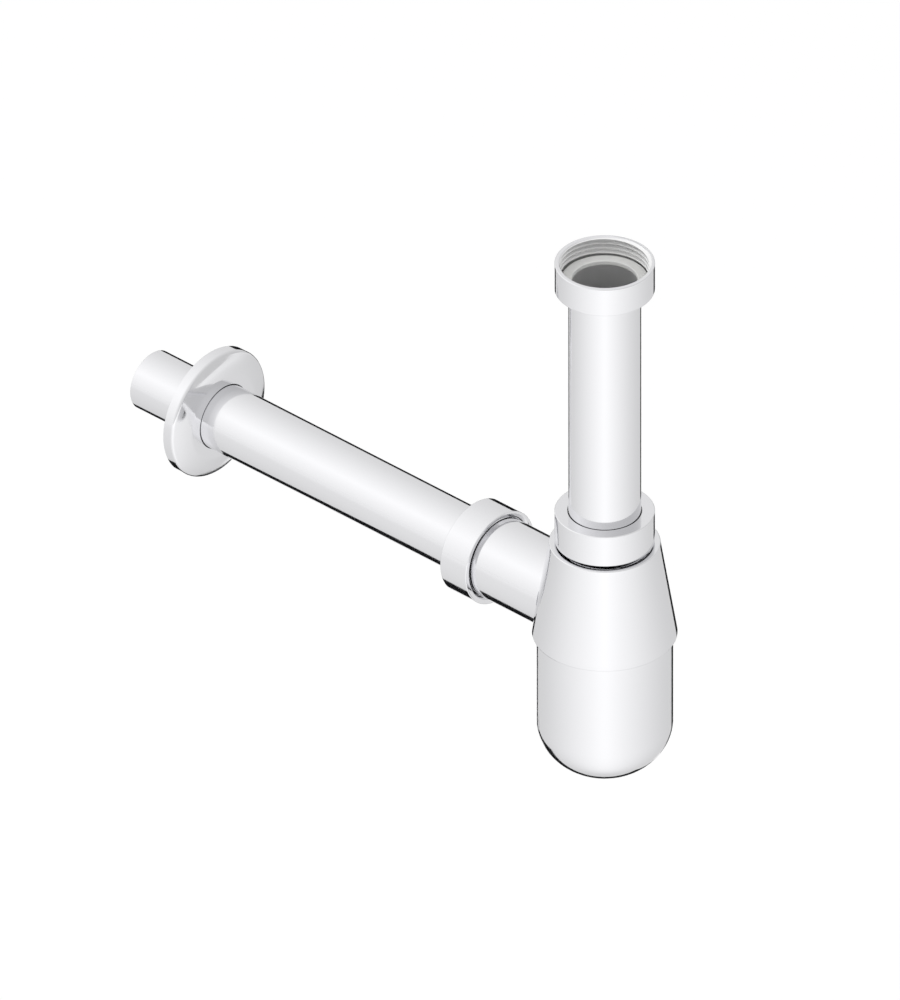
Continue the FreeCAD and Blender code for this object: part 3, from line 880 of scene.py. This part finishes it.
# Floor: as far below the cup as a trap hangs, and its painted glow, seen only by the eye and mirrors, in
# front, to the sides and far away
FLOOR_DROP = 0.50
FLOOR_SIZE = 12.0
PAINTED_FRONT_POOL = 0.66
FRONT_SHIFT = 0.04
FRONT_SOFTNESS = 0.10
PAINTED_POOL_FALL = 0.56
FAR_START = 1.5
FAR_END = 4.2
PAINTED_FAR_GLOW = 0.18

# White strip of floor behind the object: to the right of the inlet's axis, and how far behind it
BACKDROP_GLOW = 0.36
BACKDROP_MIDDLE = -0.07
BACKDROP_HALF = 0.24
BACKDROP_EDGE = 0.12
BACKDROP_START = 0.50

# Black cards round that strip, seen only in mirrors as painted dark reflections: its sides and ends, how
# they spread, and the corner at the near left
FLAG_LEFT = -0.28
FLAG_RIGHT = 0.15
FLAG_NEAR = 0.55
FLAG_FAR = 1.38
FLAG_SPREAD = 0.55
FLAG_DEPTH = 0.30
FLAG_HEIGHT = 0.52
FLAG_LIFT = 5 * MM
FLAG_STEP_OUT = 1.2
FLAG_CORNER_OUT = 1.5

# Sky: its even light on the object, and its glow to the eye and to mirrors, a painted highlight to one side
SKY_LIGHT = 0.80
PAINTED_SKY_HIGHLIGHT = 1.30
PAINTED_HIGHLIGHT_FALL = 0.60

# Softboxes, from the middle of the object
MIDDLE = Vector((-0.1, 0, -0.13))
SOFTBOX_SIZE = 1.6
KEY_PLACE = Vector((-0.6, -2.2, 2.0))
KEY_POWER = 13.0
FILL_PLACE = Vector((2.4, 0.2, 1.6))
FILL_POWER = 5.0
BACK_PLACE = Vector((-1.6, 2.2, 1.8))
BACK_POWER = 4.0

# Camera: the drawing's viewing angle and scale, and the point it aims at, seen from there
CAMERA_AZIMUTH = math.radians(42.84)
CAMERA_ELEVATION = math.radians(33.5)
CAMERA_DISTANCE = 3.0
CAMERA_REACH = 100.0
CAMERA_SPAN = 437.25 * MM
AIM_RIGHT = -67.64 * MM
AIM_UP = -96.63 * MM
AIM_BACK = -128 * MM


class TRAP_OT_stage(Operator):
    """Adds the pale floor with its painted glow, black cards for painted dark reflections, soft lights, an
    even sky with a painted highlight, and the camera
    """

    bl_idname = "trap.stage"
    bl_label = "Stage"

    def execute(self, context):
        scene = context.scene
        scene.view_settings.view_transform = "Standard"
        self.floor(scene)
        self.flags(scene)
        self.sky(scene)
        soft_light("key_softbox", KEY_PLACE, KEY_POWER)
        soft_light("fill_softbox", FILL_PLACE, FILL_POWER)
        soft_light("back_softbox", BACK_PLACE, BACK_POWER)
        self.camera(scene)
        return {"FINISHED"}

    def floor(self, scene):
        """A wide square floor below the trap."""
        bm = bmesh.new()
        bmesh.ops.create_grid(bm, x_segments=1, y_segments=1, size=FLOOR_SIZE / 2)
        bmesh.ops.translate(bm, vec=(0, 0, low("cup").z - FLOOR_DROP), verts=bm.verts)
        mesh = bpy.data.meshes.new("studio_floor")
        bm.to_mesh(mesh)
        bm.free()
        mesh.materials.append(studio_floor(scene.trap_finish))
        floor = bpy.data.objects.new("studio_floor", mesh)
        scene.collection.objects.link(floor)

    def flags(self, scene):
        """Black cards round the floor that the camera sees, which show only in mirrors: painted dark
        reflections, for thin dark edges on chrome against the white.

        Each corner is (right, behind) from the inlet's axis. The camera and the light don't see the cards.
        """
        inner, outer = FLAG_NEAR * FLAG_SPREAD, FLAG_FAR * FLAG_SPREAD
        front = FLAG_NEAR - FLAG_DEPTH
        step = FLAG_STEP_OUT * FLAG_NEAR
        corner = -FLAG_CORNER_OUT * inner
        cards = (
            ((FLAG_RIGHT, FLAG_NEAR), (inner, FLAG_NEAR), (outer, FLAG_FAR), (FLAG_RIGHT, FLAG_FAR)),
            ((FLAG_LEFT, FLAG_FAR), (-outer, FLAG_FAR), (-FLAG_STEP_OUT * inner, step), (FLAG_LEFT, step)),
            ((corner, step), (corner, FLAG_NEAR), (FLAG_LEFT, FLAG_NEAR), (FLAG_LEFT, step)),
            ((corner, FLAG_NEAR), (corner, front), (FLAG_RIGHT, front), (FLAG_RIGHT, FLAG_NEAR)),
        )
        bm = bmesh.new()
        for corners in cards:
            bm.faces.new([bm.verts.new((right, behind, FLAG_LIFT)) for right, behind in corners])
        foot = bm.edges.new([bm.verts.new((right, FLAG_FAR, FLAG_LIFT)) for right in (-outer, outer)])
        standing = bmesh.ops.extrude_edge_only(bm, edges=[foot])["geom"]
        bmesh.ops.translate(bm, vec=(0, 0, FLAG_HEIGHT),
                            verts=[part for part in standing if isinstance(part, bmesh.types.BMVert)])
        bmesh.ops.rotate(bm, cent=(0, 0, 0), matrix=Matrix.Rotation(CAMERA_AZIMUTH, 3, "Z"), verts=bm.verts)
        bmesh.ops.translate(bm, vec=(0, 0, low("cup").z - FLOOR_DROP), verts=bm.verts)
        mesh = bpy.data.meshes.new("reflection_only_black_flags")
        bm.to_mesh(mesh)
        bm.free()
        mesh.materials.append(black_felt(scene.trap_finish))
        flags = bpy.data.objects.new("reflection_only_black_flags", mesh)
        # Painted dark reflections: only mirrors see the cards, and they cast no shadow and don't darken the
        # floor's light
        flags.visible_camera = False
        flags.visible_diffuse = False
        flags.visible_shadow = False
        scene.collection.objects.link(flags)

    def sky(self, scene):
        """An even light on the object; to the eye and to mirrors only, a painted highlight makes it brighter
        on one side, and it lights nothing.
        """
        world = bpy.data.worlds.new("even_sky_with_painted_highlight")
        world.use_nodes = True
        tree = world.node_tree
        tree.nodes.clear()
        direction = add_node(tree, "ShaderNodeTexCoord").outputs["Generated"]
        # Painted highlight, seen only by the eye and mirrors: brightest to the left of the view, half way
        # up, and falling off with the angle from there
        left = Vector((-math.cos(CAMERA_AZIMUTH), -math.sin(CAMERA_AZIMUTH), 0))
        bright = left * math.cos(CAMERA_ELEVATION) + UP * math.sin(CAMERA_ELEVATION)
        nearness = add_node(tree, "ShaderNodeVectorMath", {"operation": "DOT_PRODUCT", 1: bright},
                            {0: direction}).outputs["Value"]
        half = add_node(tree, "ShaderNodeMath", {"operation": "MULTIPLY_ADD", 1: -0.5, 2: 0.5},
                        {0: nearness})
        turn = add_node(tree, "ShaderNodeMath", {"operation": "SQRT"}, {0: half.outputs[0]})
        shown = add_node(tree, "ShaderNodeMath", {"operation": "MULTIPLY_ADD", 1: -PAINTED_HIGHLIGHT_FALL, 2: PAINTED_SKY_HIGHLIGHT},
                         {0: turn.outputs[0]})
        strength = add_node(tree, "ShaderNodeMix", {"data_type": "FLOAT", 2: SKY_LIGHT},
                            {"Factor": shows_to_eye(tree), 3: shown.outputs[0]})
        glow = add_node(tree, "ShaderNodeBackground", {"Color": (1, 1, 1, 1)},
                        {"Strength": strength.outputs[0]})
        add_node(tree, "ShaderNodeOutputWorld", links={"Surface": glow.outputs[0]})
        scene.world = world

    def camera(self, scene):
        """A parallel view at the drawing's angle and scale."""
        side = math.sin(CAMERA_AZIMUTH)
        ahead = math.cos(CAMERA_AZIMUTH)
        back = Vector((side * math.cos(CAMERA_ELEVATION), -ahead * math.cos(CAMERA_ELEVATION),
                       math.sin(CAMERA_ELEVATION)))
        right = Vector((ahead, side, 0))
        aim = right * AIM_RIGHT + back.cross(right) * AIM_UP + back * AIM_BACK
        lens = bpy.data.cameras.new("drawing_view")
        lens.type = "ORTHO"
        lens.ortho_scale = CAMERA_SPAN
        lens.clip_end = CAMERA_REACH
        camera = bpy.data.objects.new("drawing_view", lens)
        camera.location = aim + back * CAMERA_DISTANCE
        camera.rotation_euler = back.to_track_quat("Z", "Y").to_euler()
        scene.collection.objects.link(camera)
        scene.camera = camera


PIECES = (
    TRAP_OT_inlet_nut, TRAP_OT_inlet_tube, TRAP_OT_joint_nuts, TRAP_OT_body, TRAP_OT_cup,
    TRAP_OT_wall_tube, TRAP_OT_wall_flange, TRAP_OT_inner_pieces, TRAP_OT_stage,
)


class TRAP_PT_panel(Panel):
    """Lists the sizes, the finishes and one button for each piece"""

    bl_idname = "TRAP_PT_panel"
    bl_label = "Bottle trap"
    bl_space_type = "VIEW_3D"
    bl_region_type = "UI"
    bl_category = "Bottle trap"

    def draw(self, context):
        for group in (context.scene.trap_sizes, context.scene.trap_finish):
            box = self.layout.box()
            for name in group.__annotations__:
                box.prop(group, name)
        for piece in PIECES:
            self.layout.operator(piece.bl_idname)


def register():
    for kind in (TrapSizes, TrapFinish) + PIECES + (TRAP_PT_panel,):
        bpy.utils.register_class(kind)
    bpy.types.Scene.trap_sizes = PointerProperty(type=TrapSizes)
    bpy.types.Scene.trap_finish = PointerProperty(type=TrapFinish)


def unregister():
    del bpy.types.Scene.trap_finish
    del bpy.types.Scene.trap_sizes
    for kind in reversed((TrapSizes, TrapFinish) + PIECES + (TRAP_PT_panel,)):
        bpy.utils.unregister_class(kind)


def main():
    register()
    bpy.ops.trap.inlet_nut()
    bpy.ops.trap.inlet_tube()
    bpy.ops.trap.joint_nuts()
    bpy.ops.trap.body()
    bpy.ops.trap.cup()
    bpy.ops.trap.wall_tube()
    bpy.ops.trap.wall_flange()
    bpy.ops.trap.inner_pieces()
    bpy.ops.trap.stage()


if __name__ == "__main__":
    main()
